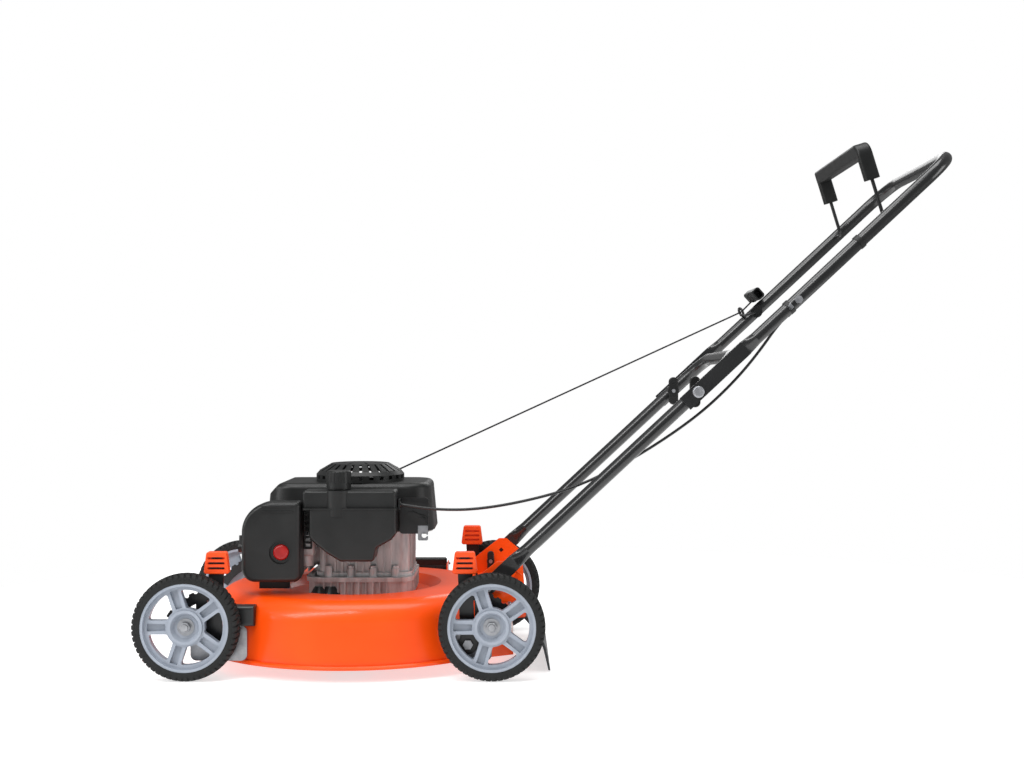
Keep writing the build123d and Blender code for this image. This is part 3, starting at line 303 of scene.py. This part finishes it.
dress_cad_nodes()
paint_part("upper_fasteners", "black_plastic", is_cable_clip)
paint_part("spark_plug", "zinc_plate", is_plug_shell)
paint_part("sump", "black_plastic", is_drain_dome)
for corner in CORNERS:
    paint_part("height_lever_" + corner, "zinc_plate", is_stub_axle)
dress_brake_lever()


# ---------------------------------------------------------------- making pieces
def new_piece(name, mesh, slot, body):
    """A mesh becomes a piece of the mower in its slot's finish. It rides on a body, if one is named."""
    obj = bpy.data.objects.new(name, mesh)
    bpy.context.scene.collection.objects.link(obj)
    mesh.materials.clear()
    mesh.materials.append(MATERIALS[slot])
    if body:
        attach(obj, body)
    return obj


def mesh_from(name, bm, crease_deg):
    """A shaded mesh, with edges sharper than that angle kept crisp."""
    bmesh.ops.recalc_face_normals(bm, faces=bm.faces)
    mesh = bpy.data.meshes.new(name)
    bm.to_mesh(mesh)
    bm.free()
    for polygon in mesh.polygons:
        polygon.use_smooth = True
    mesh.set_sharp_from_angle(angle=math.radians(crease_deg))
    return mesh


# ---------------------------------------------------------------- cords
# Both routes are the CAD cords' own points. Each cord is in stretches that meet within a run.
CABLE_D = 0.0055
# The number of the last point on the cable's route before the stretches meet.
CABLE_SPLIT = 8
CABLE_ROUTE = [
    (-0.296, -0.150, 0.323), (-0.243, -0.155, 0.315), (-0.193, -0.160, 0.313), (-0.146, -0.165, 0.315),
    (-0.085, -0.170, 0.324), (-0.018, -0.174, 0.339), (0.036, -0.176, 0.355), (0.097, -0.177, 0.380),
    (0.173, -0.177, 0.421), (0.240, -0.177, 0.464), (0.298, -0.177, 0.507), (0.346, -0.179, 0.552),
    (0.382, -0.183, 0.592), (0.414, -0.187, 0.634), (0.437, -0.191, 0.668), (0.462, -0.193, 0.697),
    (0.500, -0.1925, 0.737), (0.546, -0.193, 0.783), (0.592, -0.192, 0.828), (0.626, -0.191, 0.858),
]
ROPE_D = 0.0035
ROPE_ROUTE = [(-0.318, 0.020, 0.378), (0.441, 0.205, 0.722), (0.466, 0.205, 0.747)]
# Shares of the rope's way from the eyelet to the pigtail.
LEAVING_EYELET = 0.03
ROPE_SPLIT = 0.55
NEARING_GUIDE = 0.975
LINE_STEPS = 10
ROUND_STEPS = 4


def between(a, b, t=0.5):
    """The point that share of the way from a to b."""
    return tuple(x + (y - x) * t for x, y in zip(a, b))


def nurbs_line(name, points):
    """One smooth spline with those control points, not yet given a thickness."""
    data = bpy.data.curves.new(name, "CURVE")
    data.dimensions = "3D"
    data.resolution_u = LINE_STEPS
    spline = data.splines.new("NURBS")
    spline.points.add(len(points) - 1)
    for point, place in zip(spline.points, points):
        point.co = (*place, 1.0)
    spline.order_u = 3
    spline.use_endpoint_u = True
    data.bevel_resolution = ROUND_STEPS
    data.use_fill_caps = True
    obj = bpy.data.objects.new(name, data)
    bpy.context.scene.collection.objects.link(obj)
    return obj


def cord_stretch(name, points, diameter, slot, node):
    """A stretch of cord as a mesh tube round its NURBS line, in place of the hidden CAD node."""
    line = nurbs_line(name + "_line", points)
    path_mesh = bpy.data.meshes.new_from_object(line)
    path = [tuple(v.co) for v in path_mesh.vertices]
    line.data.bevel_depth = diameter / 2
    tube = bpy.data.meshes.new_from_object(line)
    bpy.data.meshes.remove(path_mesh)
    bpy.data.objects.remove(line)
    for polygon in tube.polygons:
        polygon.use_smooth = True
    piece = new_piece(name, tube, slot, None)
    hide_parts(node)
    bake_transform(piece)
    length = sum(math.dist(a, b) for a, b in zip(path, path[1:]))
    return piece, path, length


def make_cable():
    """It is in two stretches.
    Its two stretches are one for each fold of the handle."""
    middle = between(CABLE_ROUTE[CABLE_SPLIT], CABLE_ROUTE[CABLE_SPLIT + 1])
    lower = CABLE_ROUTE[:CABLE_SPLIT + 1] + [middle]
    upper = [middle] + CABLE_ROUTE[CABLE_SPLIT + 1:]
    low_piece, low_path, low_length = cord_stretch(
        "cable_engine_to_handle", lower, CABLE_D, "cable_sheath",
        "control_cable")
    top_piece, top_path, top_length = cord_stretch(
        "cable_handle_to_bail", upper, CABLE_D, "cable_sheath",
        "control_cable")


def make_rope():
    """The starter rope, straight from the recoil cover's eyelet to the pigtail, then into the grip."""
    start, guide, grip = ROPE_ROUTE
    near_start = between(start, guide, LEAVING_EYELET)
    middle = between(start, guide, ROPE_SPLIT)
    near_guide = between(start, guide, NEARING_GUIDE)
    low_piece, low_path, low_length = cord_stretch(
        "rope_engine_to_middle", [start, near_start, middle], ROPE_D, "rope_cord",
        "starter_rope")
    top_piece, top_path, top_length = cord_stretch(
        "rope_middle_to_guide", [middle, near_guide, guide], ROPE_D, "rope_cord",
        "starter_rope")
    cord_stretch("rope_guide_to_grip", [guide, between(guide, grip), grip], ROPE_D, "rope_cord",
                 "starter_rope")


make_cable()
make_rope()


# ---------------------------------------------------------------- tyres
BEAD_R = 0.0835
CROWN_R = 0.1016
TYRE_WIDTH = 0.0374
SHOULDER = 0.0085
SIDE_BULGE = 0.0006
CROWN_DROP = 0.08
# The share of the profile that each side wall takes, and of the crown that each round shoulder takes.
WALL = 0.2
ROUND = 0.3
PROFILE_STEPS = 44
TYRE_CREASE_DEG = 30
# The tread. Its places across the tyre count from the middle, 0, to the top of a side wall, 1.
TREAD_DEPTH = 0.0034
TREAD_BLOCKS = 54
BLOCK_STEPS = 12
ZIGZAG = 0.26
CHANNEL = 0.11
CUT_SHARE = 0.3
CUT_SLANT = 0.45
CUT_FROM = 0.1
CUT_TO = 1.2
SHALLOW_FROM = 0.9
SHALLOW_DEPTH = 0.7


def tyre_profile(s):
    """Radius and depth into the wheel's width at s, from 0 at the inner bead to 1 at the outer bead."""
    if s < WALL or s > 1 - WALL:
        t = min(s, 1 - s) / WALL
        bulge = SIDE_BULGE * (1 - math.sin(math.pi * t))
        radius = BEAD_R + (CROWN_R - SHOULDER - BEAD_R) * t
        return radius, bulge if s < WALL else TYRE_WIDTH - bulge
    t = (s - WALL) / (1 - 2 * WALL)
    half = TYRE_WIDTH / 2
    flat = half - SHOULDER
    edge = min(t, 1 - t)
    if edge < ROUND:
        angle = edge / ROUND * math.pi / 2
        out = flat + SHOULDER * math.cos(angle)
        radius = CROWN_R - SHOULDER + SHOULDER * math.sin(angle) * (1 - CROWN_DROP)
        return radius, half - out if t < 0.5 else half + out
    u = (t - 0.5) / (0.5 - ROUND)
    return CROWN_R - SHOULDER * CROWN_DROP * u * u, half + flat * u


def groove(turn, across):
    """How deep the tread is cut, 0 to 1: a zigzag channel round the middle and slanted cuts outwards."""
    blocks = turn * TREAD_BLOCKS
    zigzag = abs((blocks % 1.0) - 0.5) * 2 - 0.5
    if abs(across - ZIGZAG * zigzag) < CHANNEL:
        return 1.0
    half_a_block = 0.5 if across > 0 else 0.0
    phase = (blocks + half_a_block + CUT_SLANT * abs(across)) % 1.0
    if phase < CUT_SHARE and CUT_FROM < abs(across) < CUT_TO:
        return 1.0 if abs(across) < SHALLOW_FROM else SHALLOW_DEPTH
    return 0.0


def tyre_ring(bm, turn, origin, side):
    """The corners of one slice of a tyre, from the inner bead over the crown to the outer bead."""
    angle = turn * 2 * math.pi
    ring = []
    for j in range(PROFILE_STEPS + 1):
        s = j / PROFILE_STEPS
        radius, depth = tyre_profile(s)
        across = (s - 0.5) / (0.5 - WALL)
        radius -= TREAD_DEPTH * groove(turn, across)
        place = Vector((radius * math.cos(angle), depth * side, radius * math.sin(angle)))
        ring.append(bm.verts.new(Vector(origin) + place))
    return ring


def tyre_mesh(name, origin, side):
    """Slices joined all round and closed across the beads. side is -1 on the left, 1 on the right."""
    bm = bmesh.new()
    around = TREAD_BLOCKS * BLOCK_STEPS
    rings = [tyre_ring(bm, i / around, origin, side) for i in range(around)]
    for i in range(around):
        a, b = rings[i], rings[(i + 1) % around]
        for j in range(PROFILE_STEPS):
            bm.faces.new((a[j], a[j + 1], b[j + 1], b[j]))
        bm.faces.new((a[-1], a[0], b[0], b[-1]))
    return mesh_from(name, bm, TYRE_CREASE_DEG)


def make_tyres():
    """Treaded tyres in place of the plain CAD ones."""
    for corner in CORNERS:
        low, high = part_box("tyre_" + corner)
        side = -1 if low.y < 0 else 1
        inner_y = high.y if side < 0 else low.y
        origin = ((low.x + high.x) / 2, inner_y, (low.z + high.z) / 2)
        mesh = tyre_mesh("tyre_" + corner, origin, side)
        piece = new_piece("tread_tyre_" + corner, mesh, "tyre_rubber", "wheel_" + corner)
        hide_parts("tyre_" + corner)


make_tyres()


# ---------------------------------------------------------------- engine details
GUARD_GAP = 0.0005
GUARD_WIDTH = 0.016
GUARD_Y = (-0.1305, -0.1225)
GUARD_TOP = 0.3135
GUARD_ABOVE_CARBURETOR = 0.036
UPRIGHT_WIDTH = 0.003
RUNGS = 8
RUNG_HEIGHT = 0.004
RUNG_INSET = 0.001
BAR_EDGE = 0.0008
BAR_CREASE_DEG = 35


def add_bar(bm, low, high):
    """Add a bar with softened edges, from corner to corner."""
    size = [b - a for a, b in zip(low, high)]
    middle = [(a + b) / 2 for a, b in zip(low, high)]
    place = Matrix.Translation(middle) @ Matrix.Diagonal((*size, 1.0))
    made = bmesh.ops.create_cube(bm, size=1.0, matrix=place)
    edges = list({edge for vert in made["verts"] for edge in vert.link_edges})
    bmesh.ops.bevel(bm, geom=edges, offset=BAR_EDGE, segments=2, affect="EDGES")


def make_linkage_guard():
    """The slotted black guard in front of the carburetor, between the air filter and the tank."""
    carburetor_low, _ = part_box("carburetor")
    _, filter_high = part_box("air_filter_base")
    x0 = filter_high.x + GUARD_GAP
    x1 = x0 + GUARD_WIDTH
    y0, y1 = GUARD_Y
    z0, z1 = carburetor_low.z + GUARD_ABOVE_CARBURETOR, GUARD_TOP
    bm = bmesh.new()
    add_bar(bm, (x0, y0, z0), (x0 + UPRIGHT_WIDTH, y1, z1))
    add_bar(bm, (x1 - UPRIGHT_WIDTH, y0, z0), (x1, y1, z1))
    for i in range(RUNGS):
        z = z0 + (z1 - z0 - RUNG_HEIGHT) * i / (RUNGS - 1)
        low = (x0 + RUNG_INSET, y0 + RUNG_INSET, z)
        add_bar(bm, low, (x1 - RUNG_INSET, y1 - RUNG_INSET, z + RUNG_HEIGHT))
    new_piece("linkage_guard", mesh_from("linkage_guard", bm, BAR_CREASE_DEG), "black_plastic", "root")


make_linkage_guard()


# ---------------------------------------------------------------- studio
WHITE = (1, 1, 1, 1)
AMBIENT = 0.62
MIRRORED = 0.22
FLOOR_R = 1.7
FLOOR_SIDES = 128
FLOOR_GLOW = 0.6
ALONG_X = (1, 0, 0)
ALONG_HANDLE = (0.73, 0, 0.68)
# Name, place, point it faces, sizes along and across its direction, watts, direction.
LIGHTS = [
    ("key", (-1.45, -1.9, 2.35), (0.0, 0, 0.35), (3.0, 0.7), 56, ALONG_HANDLE),
    ("rear side", (2.9, -1.0, 0.9), (-0.1, 0, 0.3), (1.2, 1.6), 20, ALONG_X),
    ("front side", (-3.2, -1.0, 0.9), (-0.4, 0, 0.3), (1.2, 1.6), 20, ALONG_X),
    ("top", (-0.2, -0.2, 3.0), (-0.2, 0, 0.2), (2.6, 1.4), 48, ALONG_X),
    ("back", (0.6, 2.6, 1.8), (-0.1, 0, 0.3), (1.8, 1.2), 14, ALONG_X),
]


def area_light(name, place, target, size, power, along):
    """A soft box at place that faces target, turned so that its first size lies along a direction."""
    data = bpy.data.lights.new(name, "AREA")
    data.shape = "RECTANGLE"
    data.size, data.size_y = size
    data.energy = power
    light = bpy.data.objects.new(name, data)
    back = (Vector(place) - Vector(target)).normalized()
    up = back.cross(Vector(along)).normalized()
    turn = Matrix((up.cross(back), up, back)).transposed()
    light.matrix_world = Matrix.Translation(place) @ turn.to_4x4()
    bpy.context.scene.collection.objects.link(light)


def make_world():
    """White behind the mower, a softer white all round it, and little of it mirrored in the paint."""
    world = bpy.data.worlds.new("studio")
    world.use_nodes = True
    tree = world.node_tree
    background = tree.nodes["Background"]
    background.inputs["Color"].default_value = WHITE
    seen = add_node(tree, "LightPath", {})
    dimmed = add_node(tree, "Math", {})
    dimmed.operation = "MULTIPLY_ADD"
    dimmed.inputs[1].default_value = MIRRORED - AMBIENT
    dimmed.inputs[2].default_value = AMBIENT
    tree.links.new(seen.outputs["Is Glossy Ray"], dimmed.inputs[0])
    strength = add_node(tree, "Math", {})
    strength.operation = "MAXIMUM"
    tree.links.new(dimmed.outputs["Value"], strength.inputs[0])
    tree.links.new(seen.outputs["Is Camera Ray"], strength.inputs[1])
    tree.links.new(strength.outputs["Value"], background.inputs["Strength"])
    bpy.context.scene.world = world


def floor_material():
    """Matt white that glows a little, so that it is as bright as what is behind it."""
    material = surface("floor_paint", (0.6, 0.6, 0.6, 1), (0.64, 0.64, 0.64, 1), 2.0, (0.75, 0.8),
                       grain=NO_GRAIN)
    shader = material.node_tree.nodes["Principled BSDF"]
    shader.inputs["Emission Color"].default_value = WHITE
    shader.inputs["Emission Strength"].default_value = FLOOR_GLOW
    return material


def make_floor():
    """A round floor, small enough that its far edge doesn't show."""
    bm = bmesh.new()
    bmesh.ops.create_circle(bm, cap_ends=True, segments=FLOOR_SIDES, radius=FLOOR_R)
    mesh = bpy.data.meshes.new("floor")
    bm.to_mesh(mesh)
    bm.free()
    floor = bpy.data.objects.new("floor", mesh)
    mesh.materials.append(floor_material())
    bpy.context.scene.collection.objects.link(floor)


make_world()
make_floor()
for light in LIGHTS:
    area_light(*light)
bpy.context.scene.view_settings.view_transform = "Standard"
